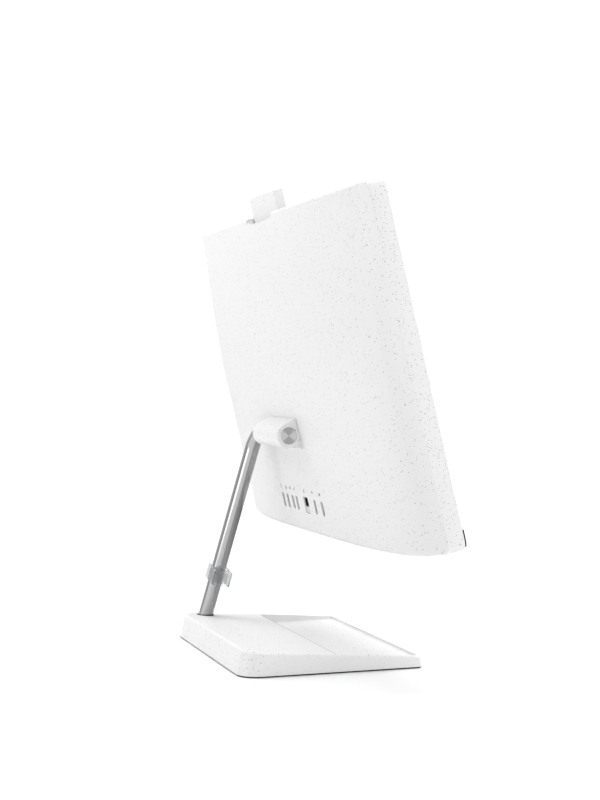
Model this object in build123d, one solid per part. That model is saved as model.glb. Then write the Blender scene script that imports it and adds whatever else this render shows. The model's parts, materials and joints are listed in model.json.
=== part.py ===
from build123d import *
import math
import os

os.makedirs("parts", exist_ok=True)

# All-in-one desktop computer: a thin display with the computer behind the panel, on one bent
# tube that rises from a wedge base.  Millimetres.  +Z is up and +Y is towards the back, where
# the sockets are.  The origin is the centre of the base's underside, on the desk.
# The display parts are drawn upright in their own frame (X across, Y back from the front
# plane, Z up from mid height; called x, t and v below) and are then leaned back together.

CLEAR = 1.0                     # how far a cutting shape runs past what it cuts

# ---- Display case -------------------------------------------------------------------------
WIDTH = 541.0
HEIGHT = 321.0
HALF_W = WIDTH / 2
HALF_H = HEIGHT / 2
WALL = 2.4                      # moulded case wall
SIDE_DEPTH = 16.0               # flat side wall, front to crease
BULGE = 34.4                    # how far the middle of the back stands beyond the crease
CASE_DEPTH = SIDE_DEPTH + BULGE
# (distance in from the side edge, share of the bulge), side edge to middle
RIM_TO_MIDDLE = [
    (0, 0.0), (8, 0.07), (14, 0.17), (19.5, 0.37), (27, 0.49), (57, 0.74), (110, 0.915), (190, 0.99)
]
LEVELS = [-1, -0.5, 0, 0.25, 0.5, 0.75, 1]      # heights of the case's sections, over HALF_H
TOP_THINNING = 0.593            # share of the bulge lost at the top edge
THINNING_POWER = 1.6
OUTLINE_R = 9.0                 # corners of the case seen from the front
VENT_GROUPS = [-150, -60, 60, 150]
VENT_COUNT = 11
VENT_PITCH = 7.0
VENT_W = 3.0
BOTTOM_VENT_T = (22.0, 36.0)
TOP_VENT_T = (12.0, 21.0)
LEAN = 13.5                     # degrees back from upright, as it stands
FRONT_Y = -30.9                 # centre of the front plane
FRONT_Z = 282.7

# ---- Hinge and stand ----------------------------------------------------------------------
TUBE_R = 7.5
TUBE_BORE_R = 5.7
BEND_R = 24.0
AXIS_T = 61.0                   # hinge axis in the display frame
AXIS_V = -54.0
LEAN_RAD = math.radians(LEAN)
AXIS_Y = FRONT_Y + AXIS_V * math.sin(LEAN_RAD) + AXIS_T * math.cos(LEAN_RAD)
AXIS_Z = FRONT_Z + AXIS_V * math.cos(LEAN_RAD) - AXIS_T * math.sin(LEAN_RAD)
BLOCK_X0 = -38.0                # capped end of the hinge block
BLOCK_X1 = 46.0                 # end where the tube enters
NOSE_R = 12.0
BLOCK_TOP_V = -39.0
BLOCK_BOTTOM_V = -69.5
BLOCK_EDGE_R = 0.8
CAP_R = 8.0
CAP_GAP = 0.3
CAP_RECESS = 2.3
BLOCK_WEB = 2.0                 # wall between the cap's recess and the sleeve bore
SLEEVE_X0 = BLOCK_X0 + CAP_RECESS + BLOCK_WEB
SLEEVE_R = 10.0
SLEEVE_LENGTH = 27.0
SEAL_W = 2.0
RUNNING_GAP = 0.06
TUBE_CLEARANCE = 0.4
SCREW_INSET_X = 8.0             # hinge screws, in from the block's ends
SCREW_INSET_V = 4.5             # and from its upper and lower edges
BRACKET_T = 47.8                # back of the steel bracket inside the case
BRACKET_GAUGE = 2.0
FOOT = Vector(110, 61, 22)      # where the tube's centre line meets the base's top
APEX = Vector(72, AXIS_Y, AXIS_Z)
TUBE_END_X = BLOCK_X0 + 2.0
SUNK = 15.0                     # how far the tube goes down into the base

# ---- Base ---------------------------------------------------------------------------------
BASE_W = 254.0
BASE_HALF_W = BASE_W / 2
BASE_HALF_D = 89.0
PAD_H = 1.5                     # rubber pad under the base
PLATE_H = 1.5                   # steel bottom plate
SEAT_Z = PAD_H + PLATE_H
REAR_TOP_Y = 83.75
REAR_TOP_Z = 23.9
FRONT_TOP_Y = -87.5
FRONT_TOP_Z = 11.4
REAR_CORNER_R = 20.0
FRONT_CORNER_R = 6.0
BASE_EDGE_R = 2.0
BASE_WALL = 2.8
TRAY_FLOOR_Z = 8.5
TRAY_HALF_W = 122.5
TRAY_REAR_Y = -2.4
TRAY_FRONT_Y = -84.5
TRAY_CORNER_R = 3.0
TRAY_FLOOR_R = 2.0
BOSSES = [(-108, 62), (70, 66), (-108, 14), (108, 14), (-108, -76), (108, -76)]
FLANGE_H = 3.5                  # of the cast socket that holds the tube
FLANGE_X = FOOT.X - 2.0

# ---- Pop-up camera ------------------------------------------------------------------------
CAM_HALF_W = 41.0
CAM_FRONT_T = 12.7
CAM_BACK_T = 22.2
CAM_TOP_V = HALF_H + 19.7       # raised, as it stands
CAM_HEIGHT = 35.0
CAM_GAP = 0.4                   # all round, where it comes through the case
RECESS_DEPTH = 5.9              # finger recess behind the camera
RECESS_FLOOR_V = HALF_H - RECESS_DEPTH
RECESS_HALF_W = CAM_HALF_W + 1.5
LENS_V = CAM_TOP_V - 9.5
LENS_R = 4.0
WINDOW_HALF_W = 33.0
WINDOW_TOP_V = CAM_TOP_V - 3.0
WINDOW_BOTTOM_V = CAM_TOP_V - 16.0
WINDOW_R = 5.5
WINDOW_GAP = 0.2

# ---- Sockets on the back: centre across, one row --------------------------------------------
PORT_V = -128.8
PORT_BACK_T = 49.6
SLOT_W = 6.6
SLOT_H = 15.0
SLOT_R = 2.2
SHELL_R = 1.9                   # corners of the sockets' metal shells
PORT_GAP = 0.25                 # between the network socket and the case
USB_X = [66.0, 50.4, 33.3, 20.2]
ETHERNET_X = -9.7
HDMI_X = -36.5
POWER_X = -58.0
ETHERNET_W = 14.0
ETHERNET_H = 17.4
ETHERNET_R = 1.8
MOUTH_W = 11.7                  # lined opening in the upper part of the network socket
MOUTH_H = 9.4
MOUTH_DEPTH = 12.0
MOUTH_TOP_V = PORT_V + ETHERNET_H / 2 - 1.15

# ---- Front ----------------------------------------------------------------------------------
EDGE = WALL + 0.3               # from the outside of the case in to the bezel
GLASS_MARGIN = 5.6
GLASS_T0 = 1.2
GLASS_T1 = 1.98
PANEL_T0 = 2.0
PANEL_T1 = 8.8
BEZEL_T1 = 9.6
CHIN_TOP_V = -HALF_H + 20.5
CHIN_BOTTOM_V = -HALF_H + 3.0
CHIN_PROUD = 1.3
GLASS_BOTTOM_V = CHIN_TOP_V + 1.0

# ---- Chassis, board and blower ----------------------------------------------------------------
CHASSIS_T = 9.8
CHASSIS_GAUGE = 1.4
CHASSIS_BACK_T = CHASSIS_T + CHASSIS_GAUGE
CHASSIS_HALF_W = 255.0
CHASSIS_BOTTOM_V = -152.0
CHASSIS_TOP_V = 118.0
BOARD_T = 33.0
BOARD_H = 1.6
BOARD_BACK_T = BOARD_T + BOARD_H
BOARD_X = (-150.0, 100.0)
BOARD_V = (-154.0, -92.0)
LID_H = 2.0
COLD_PLATE_H = 2.0
PIPE_H = 4.0
FAN_X = -118.0
FAN_V = -33.0
FAN_R = 34.0
FAN_T0 = 22.0
FAN_T1 = 35.0
FAN_PIN_R = 2.0
FINS_V = (16.0, 34.0)

# ---- Power button under the right-hand end --------------------------------------------------
BUTTON_X = 246.0
BUTTON_T = 12.6
BUTTON_W = 14.0
BUTTON_D = 5.0
BUTTON_PROUD = 0.8
BUTTON_TOP_V = -HALF_H + 3.4

# ---- Cable clip -----------------------------------------------------------------------------
CLIP_UP = 46.4                  # centre of the clip above the base's top, along the tube
CLIP_H = 14.3
CLIP_W = 29.0                   # across, in X
CLIP_D = 19.7                   # front to back
CLIP_WALL = 1.6
CLIP_GAP = 0.15                 # between the clip's grip and the tube
CLIP_CORNER_R = 1.5


def box_between(x0, x1, y0, y1, z0, z1):
    centre = Pos((x0 + x1) / 2, (y0 + y1) / 2, (z0 + z1) / 2)
    return centre * Box(x1 - x0, y1 - y0, z1 - z0)


def box_about(x, half_x, y0, y1, z, half_z):
    """Box centred on x and z, from y0 to y1."""
    return box_between(x - half_x, x + half_x, y0, y1, z - half_z, z + half_z)


def rod_x(x0, x1, y, z, radius):
    return Pos((x0 + x1) / 2, y, z) * Rot(0, 90, 0) * Cylinder(radius, x1 - x0)


def rod_y(y0, y1, x, z, radius):
    return Pos(x, (y0 + y1) / 2, z) * Rot(90, 0, 0) * Cylinder(radius, y1 - y0)


def rod_z(z0, z1, x, y, radius):
    return Pos(x, y, (z0 + z1) / 2) * Cylinder(radius, z1 - z0)


def group(solids):
    return Compound(children=list(solids))


def leaned(shape):
    return Pos(0, FRONT_Y, FRONT_Z) * Rot(-LEAN, 0, 0) * shape


def save(name, shape):
    export_step(shape, "parts/" + name + ".step")


def screw_y(x, y_head, z, length, towards=1):
    """Pan-head screw along Y, head at y_head, shank running the way of towards."""
    head_r, head_h, shank_r = 2.6, 1.6, 1.4
    head = sorted([y_head, y_head - towards * head_h])
    shank = sorted([y_head, y_head + towards * length])
    return rod_y(head[0], head[1], x, z, head_r) + rod_y(shank[0], shank[1], x, z, shank_r)


# ---- Case ---------------------------------------------------------------------------------
def bulge_share(v):
    """Share of the full bulge at height v: whole below the middle, less towards the top."""
    return 1 - TOP_THINNING * (max(v, 0) / HALF_H) ** THINNING_POWER


def case_section(v, inset, front_t):
    """Closed outline across the case at height v, inset from the outer surface."""
    half = HALF_W - inset
    side_t = SIDE_DEPTH - inset
    across = [(HALF_W - e) * half / HALF_W for e, share in RIM_TO_MIDDLE]
    depth = [side_t + BULGE * bulge_share(v) * share for e, share in RIM_TO_MIDDLE]
    right = list(zip(across, depth))
    middle_t = side_t + BULGE * bulge_share(v)
    back = right + [(0, middle_t)] + [(-x, t) for x, t in reversed(right)]
    points = [Vector(x, t, v) for x, t in back]
    corner_right = Vector(half, front_t, v)
    corner_left = Vector(-half, front_t, v)
    front = Edge.make_line(corner_left, corner_right)
    right_side = Edge.make_line(corner_right, points[0])
    left_side = Edge.make_line(points[-1], corner_left)
    return Face(Wire([front, right_side, Edge.make_spline(points), left_side]))


def case_body(inset, front_t):
    half = HALF_H - inset
    return loft([case_section(level * half, inset, front_t) for level in LEVELS])


def outline_prism(inset):
    """Rounded rectangle of the case's front view, run straight back."""
    half_w, half_h = HALF_W - inset, HALF_H - inset
    shape = box_about(0, half_w, -CLEAR, CASE_DEPTH + CLEAR, 0, half_h)
    return fillet(shape.edges().filter_by(Axis.Y), OUTLINE_R - inset)


def vent_slots(x_centre, across_t, v0, v1):
    first = x_centre - VENT_PITCH * (VENT_COUNT - 1) / 2
    places = [first + i * VENT_PITCH for i in range(VENT_COUNT)]
    return [box_between(x - VENT_W / 2, x + VENT_W / 2, *across_t, v0, v1) for x in places]


def socket_cut(x, width, height, corner_r):
    front_t = 44.0
    cut = box_about(x, width / 2, front_t, CASE_DEPTH + CLEAR, PORT_V, height / 2)
    return fillet(cut.edges().filter_by(Axis.Y), corner_r)


def recess_and_aperture():
    """Room for a fingertip behind the camera, and the slot that the camera rises through."""
    front_t = CAM_BACK_T + CAM_GAP
    above = HALF_H + WALL
    recess = box_between(-RECESS_HALF_W, RECESS_HALF_W, front_t, CASE_DEPTH, RECESS_FLOOR_V, above)
    recess = fillet(recess.edges().filter_by(Axis.Y).group_by(Axis.Z)[0], RECESS_DEPTH - CAM_GAP)
    half, below, lap = CAM_HALF_W + CAM_GAP, RECESS_FLOOR_V - 4.0, 0.1
    return recess + box_between(-half, half, CAM_FRONT_T - CAM_GAP, front_t + lap, below, above)


def rear_cover():
    outer = case_body(0, 0) & outline_prism(0)
    inner = case_body(WALL, -WALL) & outline_prism(WALL)
    shell = outer - inner
    half = RECESS_HALF_W + WALL
    tub = box_between(-half, half, CAM_BACK_T + CAM_GAP, CASE_DEPTH, RECESS_FLOOR_V - WALL, HALF_H)
    shell += tub & outer
    shell -= recess_and_aperture()
    cuts = [socket_cut(x, SLOT_W, SLOT_H, SLOT_R) for x in USB_X + [HDMI_X, POWER_X]]
    cuts.append(socket_cut(ETHERNET_X, ETHERNET_W, ETHERNET_H, ETHERNET_R))
    hole_r, hole_end = 2.0, CASE_DEPTH + CLEAR
    cuts += [rod_y(BRACKET_T - CLEAR, hole_end, x, v, hole_r) for x, v in hinge_screw_places()]
    below, above = -HALF_H - CLEAR, HALF_H + CLEAR
    through = WALL + 2 * CLEAR
    for x in VENT_GROUPS:
        cuts += vent_slots(x, BOTTOM_VENT_T, below, below + through)
    for x in (VENT_GROUPS[0], VENT_GROUPS[-1]):
        cuts += vent_slots(x, TOP_VENT_T, above - through, above)
    half_w, half_d = BUTTON_W / 2 + 0.3, BUTTON_D / 2 + 0.3
    cuts.append(box_between(BUTTON_X - half_w, BUTTON_X + half_w, BUTTON_T - half_d, BUTTON_T + half_d,
                            below, below + through))
    return shell - cuts


# ---- Hinge --------------------------------------------------------------------------------
def hinge_screw_places():
    across = (BLOCK_X0 + SCREW_INSET_X, BLOCK_X1 - SCREW_INSET_X)
    up = (BLOCK_TOP_V - SCREW_INSET_V, BLOCK_BOTTOM_V + SCREW_INSET_V)
    return [(x, v) for x in across for v in up]


def tangent_point(t, v, upper):
    """Point where a line from (t, v) touches the nose circle, on its upper or lower side."""
    dt, dv = AXIS_T - t, AXIS_V - v
    distance = math.hypot(dt, dv)
    base = math.atan2(dv, dt)
    swing = math.asin(NOSE_R / distance)
    reach = math.sqrt(distance ** 2 - NOSE_R ** 2)
    angle = base + swing if upper else base - swing
    return t + reach * math.cos(angle), v + reach * math.sin(angle)


def hinge_block():
    """Nose around the tube's axle, with flat flanks down to the case, shaped to its back."""
    root_t = CASE_DEPTH - 2.0
    upper = tangent_point(CASE_DEPTH, BLOCK_TOP_V, True)
    lower = tangent_point(CASE_DEPTH, BLOCK_BOTTOM_V, False)
    outline = [(root_t, BLOCK_TOP_V), (CASE_DEPTH, BLOCK_TOP_V), upper, (AXIS_T, AXIS_V), lower,
               (CASE_DEPTH, BLOCK_BOTTOM_V), (root_t, BLOCK_BOTTOM_V)]
    flanks = Polyline([Vector(BLOCK_X0, t, v) for t, v in outline], close=True)
    body = extrude(Face(Wire(flanks.edges())), amount=BLOCK_X1 - BLOCK_X0, dir=(1, 0, 0))
    body += rod_x(BLOCK_X0, BLOCK_X1, AXIS_T, AXIS_V, NOSE_R)
    near_end = 0.1
    ends = [e for e in body.edges()
            if e.center().X < BLOCK_X0 + near_end or e.center().X > BLOCK_X1 - near_end]
    body = fillet([e for e in ends if e.center().Y > CASE_DEPTH + CLEAR], BLOCK_EDGE_R)
    body -= rod_x(BLOCK_X0 - CLEAR, BLOCK_X0 + CAP_RECESS, AXIS_T, AXIS_V, CAP_R + CAP_GAP)
    body -= rod_x(BLOCK_X0, SLEEVE_X0 + CLEAR, AXIS_T, AXIS_V, TUBE_R + TUBE_CLEARANCE)
    body -= rod_x(SLEEVE_X0, BLOCK_X1 + CLEAR, AXIS_T, AXIS_V, SLEEVE_R)
    body -= case_body(0, 0)
    hole_r, hole_depth = 1.45, 6.0
    for x, v in hinge_screw_places():
        body -= rod_y(CASE_DEPTH - CLEAR, CASE_DEPTH + hole_depth, x, v, hole_r)
    return body


def friction_sleeves():
    end = BLOCK_X1 - SEAL_W
    spans = [(SLEEVE_X0, SLEEVE_X0 + SLEEVE_LENGTH), (end - SLEEVE_LENGTH, end)]
    return group([rod_x(a, b, AXIS_T, AXIS_V, SLEEVE_R) -
                  rod_x(a - CLEAR, b + CLEAR, AXIS_T, AXIS_V, TUBE_R + RUNNING_GAP) for a, b in spans])


def hinge_seal():
    start = BLOCK_X1 - SEAL_W
    ring = rod_x(start, BLOCK_X1, AXIS_T, AXIS_V, SLEEVE_R)
    return ring - rod_x(start - CLEAR, BLOCK_X1 + CLEAR, AXIS_T, AXIS_V, TUBE_R + TUBE_CLEARANCE)


def hinge_bracket():
    """Steel bracket inside the cover: a back plate with flanges down to the chassis."""
    x0, x1, v0, v1 = -52.0, 60.0, -84.0, -28.0
    front_t, foot, hole_r = CHASSIS_BACK_T + 0.1, 9.0, 1.7
    plate = box_between(x0, x1, BRACKET_T - BRACKET_GAUGE, BRACKET_T, v0, v1)
    for v, outward in ((v0, -1), (v1, 1)):
        low, high = sorted([v, v - outward * BRACKET_GAUGE])
        plate += box_between(x0, x1, front_t, BRACKET_T, low, high)
        low, high = sorted([v, v + outward * foot])
        plate += box_between(x0, x1, front_t, front_t + BRACKET_GAUGE, low, high)
    for x, v in hinge_screw_places():
        plate -= rod_y(BRACKET_T - BRACKET_GAUGE - CLEAR, BRACKET_T + CLEAR, x, v, hole_r)
    return plate


def hinge_screws():
    head_t, length = BRACKET_T - BRACKET_GAUGE, 10.0
    return group([screw_y(x, head_t, v, length) for x, v in hinge_screw_places()])


# ---- Front of the display -------------------------------------------------------------------
def display_panel():
    """Backlight tray of the LCD module, with a stepped back, behind its glass."""
    half, top = HALF_W - GLASS_MARGIN, HALF_H - GLASS_MARGIN
    step, step_t = 1.5, 0.6
    tray = box_between(-half, half, PANEL_T0, PANEL_T1, GLASS_BOTTOM_V, top)
    return tray + box_between(-half + step, half - step, PANEL_T1, PANEL_T1 + step_t,
                              GLASS_BOTTOM_V + step, top - step)


def panel_glass():
    half = HALF_W - GLASS_MARGIN
    return box_between(-half, half, GLASS_T0, GLASS_T1, GLASS_BOTTOM_V, HALF_H - GLASS_MARGIN)


def front_bezel():
    """Black frame around the glass, inside the cover's lip."""
    half, top, bottom = HALF_W - EDGE, HALF_H - EDGE, CHIN_TOP_V - 2.0
    face_t, side, top_band, sill = 1.15, 7.0, 7.6, 2.0
    solid = box_between(-half, half, 0, BEZEL_T1, bottom, top)
    solid = fillet(solid.edges().filter_by(Axis.Y).group_by(Axis.Z)[-1], OUTLINE_R - EDGE)
    solid -= box_between(-HALF_W + side, HALF_W - side, -CLEAR, face_t + CLEAR,
                         CHIN_TOP_V + sill, HALF_H - top_band)
    hollow, ledge = 5.4, 0.8
    return solid - box_between(-HALF_W + hollow, HALF_W - hollow, face_t, BEZEL_T1 + CLEAR,
                               CHIN_TOP_V + ledge, HALF_H - hollow)


def speaker_bar():
    """Chin bar below the screen, standing proud, with a row of slots for the sound."""
    half, top, back_t = HALF_W - EDGE, CHIN_TOP_V - 2.3, 7.5
    bar = box_between(-half, half, -CHIN_PROUD, back_t, CHIN_BOTTOM_V, top)
    bar = fillet(bar.edges().filter_by(Axis.Y).group_by(Axis.Z)[0], OUTLINE_R - EDGE)
    edge_r, wall, skin_t = 0.8, 2.0, 2.5
    bar = fillet(bar.faces().sort_by(Axis.Y)[0].edges(), edge_r)
    bar -= box_between(-half + wall + 1, half - wall - 1, skin_t, back_t + CLEAR,
                       CHIN_BOTTOM_V + wall, top - wall)
    first, pitch, count, slot_w, slot_h = 150.0, 6.0, 14, 2.4, 7.0
    places = [side * (first + i * pitch) for side in (-1, 1) for i in range(count)]
    middle = (CHIN_BOTTOM_V + top) / 2
    return bar - [box_about(x, slot_w / 2, -CHIN_PROUD - CLEAR, skin_t + CLEAR, middle, slot_h / 2)
                  for x in places]


def chassis():
    """Pressed steel plate that carries the panel in front and the computer behind."""
    half, lip, flange, low_flange_half = CHASSIS_HALF_W, CHASSIS_GAUGE, 6.0, 140.0
    plate = box_between(-half, half, CHASSIS_T, CHASSIS_BACK_T, CHASSIS_BOTTOM_V, CHASSIS_TOP_V)
    window_xs, window_half, window_v0, window_v1 = (-190, -95, 95, 190), 38.0, 20.0, 84.0
    plate -= [box_between(x - window_half, x + window_half, CHASSIS_T - CLEAR, CHASSIS_BACK_T + CLEAR,
                          window_v0, window_v1) for x in window_xs]
    back_t = CHASSIS_T + flange
    plate += box_between(-half, half, CHASSIS_T, back_t, CHASSIS_TOP_V - lip, CHASSIS_TOP_V)
    return plate + box_between(-low_flange_half, low_flange_half, CHASSIS_T, back_t,
                               CHASSIS_BOTTOM_V, CHASSIS_BOTTOM_V + lip)


# ---- Computer behind the panel ----------------------------------------------------------------
def board_post_places():
    side, top, bottom, middle_x = 5.0, 5.0, 8.0, 2.0
    across = (BOARD_X[0] + side, middle_x, BOARD_X[1] - side)
    return [(x, v) for x in across for v in (BOARD_V[0] + bottom, BOARD_V[1] - top)]


def main_board():
    hole_r, t0, t1 = 1.6, BOARD_T - CLEAR, BOARD_BACK_T + CLEAR
    board = box_between(*BOARD_X, BOARD_T, BOARD_BACK_T, *BOARD_V)
    return board - [rod_y(t0, t1, x, v, hole_r) for x, v in board_post_places()]


def board_posts():
    half, hole_r, hole_depth = 3.0, 1.4, 8.0
    return group([box_about(x, half, CHASSIS_BACK_T, BOARD_T, v, half) -
                  rod_y(BOARD_T - hole_depth, BOARD_T + CLEAR, x, v, hole_r) for x, v in board_post_places()])


def board_screws():
    length = 7.0
    return group([screw_y(x, BOARD_BACK_T, v, length, towards=-1) for x, v in board_post_places()])


def processor():
    x, v, half = -106.0, -118.0, 16.0
    return box_about(x, half, BOARD_BACK_T, BOARD_BACK_T + LID_H, v, half)


def heat_pipe():
    """Flattened copper pipe from the processor's cold plate up to the fins."""
    x, v, plate_half, pipe_half = -106.0, -118.0, 20.0, 6.0
    plate_t = BOARD_BACK_T + LID_H
    pipe_t = plate_t + COLD_PLATE_H
    plate = box_about(x, plate_half, plate_t, pipe_t, v, plate_half)
    pipe_start_v = v - 14.0
    return plate + box_between(x - pipe_half, x + pipe_half, pipe_t, pipe_t + PIPE_H, pipe_start_v, FINS_V[0])


def heat_sink():
    x0, x1, t0, t1 = -152.0, -84.0, 30.0, 42.6
    core_t0, core_t1, pitch, fin = 38.6, 40.0, 3.0, 0.9
    stack = box_between(x0, x1, core_t0, core_t1, *FINS_V)
    for i in range(int((x1 - x0) / pitch) + 1):
        x = x0 + i * pitch
        stack += box_between(x, x + fin, t0, t1, *FINS_V)
    return stack


def fan_housing():
    """Blower casing: round chamber, outlet up to the fins, spindle in the middle."""
    half, outlet, floor, roof, tip_gap = FAN_R + 4.0, 8.0, 1.5, 1.2, 1.5
    top_v = FAN_V + half + outlet
    t0, t1 = FAN_T0 + floor, FAN_T1 - roof
    inlet_r = FAN_R * 0.6
    duct_x0, duct_x1 = FAN_X - 4.0, FAN_X + FAN_R + tip_gap
    case = box_between(FAN_X - half, FAN_X + half, FAN_T0, FAN_T1, FAN_V - half, top_v)
    case -= rod_y(t0, t1, FAN_X, FAN_V, FAN_R + tip_gap)
    case -= box_between(duct_x0, duct_x1, t0, t1, FAN_V, top_v + CLEAR)
    case -= rod_y(t1 - CLEAR, FAN_T1 + CLEAR, FAN_X, FAN_V, inlet_r)
    pin_end = FAN_T1 - 3.5
    return case + rod_y(t0 - floor / 2, pin_end, FAN_X, FAN_V, FAN_PIN_R)


def fan_impeller():
    hub_r, blade_w, disc_t, count, sweep_deg = 13.0, 1.0, 1.0, 17, 18
    t0, t1 = FAN_T0 + 2.0, FAN_T1 - 1.8
    disc_r, bore_end = FAN_R - 4.0, FAN_T1 - 3.4
    blade_x = (hub_r + FAN_R) / 2 - 1.5
    wheel = rod_y(t0, t1, FAN_X, FAN_V, hub_r) + rod_y(t0, t0 + disc_t, FAN_X, FAN_V, disc_r)
    blade = Pos(blade_x, 0, 0) * Rot(0, sweep_deg, 0) * Box(FAN_R - hub_r, t1 - t0, blade_w)
    for i in range(count):
        wheel += Pos(FAN_X, (t0 + t1) / 2, FAN_V) * Rot(0, 360 * i / count, 0) * blade
    return wheel - rod_y(t0 - CLEAR, bore_end, FAN_X, FAN_V, FAN_PIN_R + RUNNING_GAP)


def memory_modules():
    """Two modules lying in their edge sockets."""
    rows, x0, x1 = (-110.0, -97.0), -77.0, -9.0
    lift, module_h, module_half = 2.0, 1.2, 4.0
    socket_h, socket_end, socket_low, socket_high = 3.6, 3.0, -5.0, -3.0
    t0 = BOARD_BACK_T
    return group([
        box_between(x0, x1, t0 + lift, t0 + lift + module_h, v - module_half, v + module_half) +
        box_between(x0 - socket_end, x1 + socket_end, t0, t0 + socket_h, v + socket_low, v + socket_high)
        for v in rows])


def storage_drive():
    x0, x1, v0, v1, lift, card_h = 12.0, 90.0, -118.0, -96.0, 1.5, 2.2
    socket_x0, socket_x1, socket_h = 8.0, 14.0, 4.2
    t0 = BOARD_BACK_T
    card = box_between(x0, x1, t0 + lift, t0 + lift + card_h, v0, v1)
    return card + box_between(socket_x0, socket_x1, t0, t0 + socket_h, v0, v1)


def wireless_card():
    x0, x1, v0, v1, thick = -145.0, -130.0, -140.0, -110.0, 3.2
    return box_between(x0, x1, BOARD_T - thick, BOARD_T, v0, v1)


def speakers():
    """Closed cabinet behind each end of the chin, with a cone in its front."""
    centre_x, half_w, t0, t1, v, half_h = 189.0, 40.0, 12.0, 30.0, -146.0, 10.0
    cone_in, hole_r, hole_depth, cone_r, cone_t0, cone_t1 = 20.0, 8.0, 2.0, 7.4, 12.5, 13.5
    cabinets = []
    for side in (-1, 1):
        x = side * centre_x
        cabinet = box_about(x, half_w, t0, t1, v, half_h)
        cabinet -= rod_y(t0 - CLEAR, t0 + hole_depth, x - cone_in, v, hole_r)
        cabinets.append(cabinet + rod_y(cone_t0, cone_t1 + CLEAR, x - cone_in, v, cone_r))
    return group(cabinets)


# ---- Sockets ------------------------------------------------------------------------------
def slot_shell(x, shell_w, shell_h, tongue_w):
    """Metal shell of an upright socket with its tongue, standing on the board."""
    gauge, floor, tongue_gap, tongue_short = 0.4, 4.0, 1.6, 1.0
    outer = box_about(x, shell_w / 2, BOARD_BACK_T, PORT_BACK_T, PORT_V, shell_h / 2)
    outer = fillet(outer.edges().filter_by(Axis.Y), SHELL_R)
    inner = box_about(x, shell_w / 2 - gauge, BOARD_BACK_T + floor, PORT_BACK_T + CLEAR,
                      PORT_V, shell_h / 2 - gauge)
    outer -= fillet(inner.edges().filter_by(Axis.Y), SHELL_R - gauge)
    return outer + box_about(x, tongue_w / 2, BOARD_BACK_T + floor - CLEAR, PORT_BACK_T - tongue_short,
                             PORT_V, shell_h / 2 - tongue_gap)


def usb_ports():
    shell_w, shell_h, tongue_w = 6.0, 14.4, 1.9
    return group([slot_shell(x, shell_w, shell_h, tongue_w) for x in USB_X])


def hdmi_port():
    shell_w, shell_h, tongue_w = 5.6, 14.4, 1.4
    return slot_shell(HDMI_X, shell_w, shell_h, tongue_w)


def power_inlet():
    shell_w, shell_h, tongue_w = 6.0, 14.4, 1.2
    return slot_shell(POWER_X, shell_w, shell_h, tongue_w)


def ethernet_port():
    """Network socket: opening in the upper part and a solid lip below."""
    half_w, half_h = ETHERNET_W / 2 - PORT_GAP, ETHERNET_H / 2 - PORT_GAP
    body = box_about(ETHERNET_X, half_w, BOARD_BACK_T, PORT_BACK_T, PORT_V, half_h)
    body = fillet(body.edges().filter_by(Axis.Y), ETHERNET_R - PORT_GAP)
    return body - box_about(ETHERNET_X, MOUTH_W / 2, PORT_BACK_T - MOUTH_DEPTH, PORT_BACK_T + CLEAR,
                            MOUTH_TOP_V - MOUTH_H / 2, MOUTH_H / 2)


def ethernet_liner():
    """Black insert of the network socket with its row of contact springs."""
    wall = 0.5
    t0, t1 = PORT_BACK_T - MOUTH_DEPTH, PORT_BACK_T - 0.4
    v = MOUTH_TOP_V - MOUTH_H / 2
    liner = box_about(ETHERNET_X, MOUTH_W / 2, t0, t1, v, MOUTH_H / 2)
    liner -= box_about(ETHERNET_X, MOUTH_W / 2 - wall, t0 + wall, t1 + CLEAR, v, MOUTH_H / 2 - wall)
    pitch, count, pin_half, pin_h, pin_t1 = 1.02, 8, 0.2, 0.7, PORT_BACK_T - 6.0
    pin_top = MOUTH_TOP_V - wall
    for i in range(count):
        x = ETHERNET_X + (i - (count - 1) / 2) * pitch
        liner += box_between(x - pin_half, x + pin_half, t0 + wall, pin_t1, pin_top - pin_h, pin_top)
    return liner


# ---- Camera -------------------------------------------------------------------------------
def camera_housing():
    corner_r, edge_r, window_depth, lens_depth = 1.5, 0.6, 1.2, 4.0
    shape = box_between(-CAM_HALF_W, CAM_HALF_W, CAM_FRONT_T, CAM_BACK_T, CAM_TOP_V - CAM_HEIGHT, CAM_TOP_V)
    shape = fillet(shape.edges().filter_by(Axis.Y).group_by(Axis.Z)[-1], corner_r)
    shape = fillet(shape.edges().group_by(Axis.Z)[-1], edge_r)
    window = box_between(-WINDOW_HALF_W, WINDOW_HALF_W, CAM_FRONT_T - CLEAR, CAM_FRONT_T + window_depth,
                         WINDOW_BOTTOM_V, WINDOW_TOP_V)
    shape -= fillet(window.edges().filter_by(Axis.Y), WINDOW_R)
    return shape - rod_y(CAM_FRONT_T, CAM_FRONT_T + lens_depth, 0, LENS_V, LENS_R)


def camera_window():
    t0, t1, gap = CAM_FRONT_T + 0.1, CAM_FRONT_T + 1.1, WINDOW_GAP
    pane = box_between(-WINDOW_HALF_W + gap, WINDOW_HALF_W - gap, t0, t1,
                       WINDOW_BOTTOM_V + gap, WINDOW_TOP_V - gap)
    return fillet(pane.edges().filter_by(Axis.Y), WINDOW_R - gap)


def camera_lens():
    t0, t1, iris_r, iris_t = CAM_FRONT_T + 1.25, CAM_FRONT_T + 3.9, 2.4, CAM_FRONT_T + 2.0
    barrel = rod_y(t0, t1, 0, LENS_V, LENS_R - WINDOW_GAP)
    return barrel - rod_y(t0 - CLEAR, iris_t, 0, LENS_V, iris_r)


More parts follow.
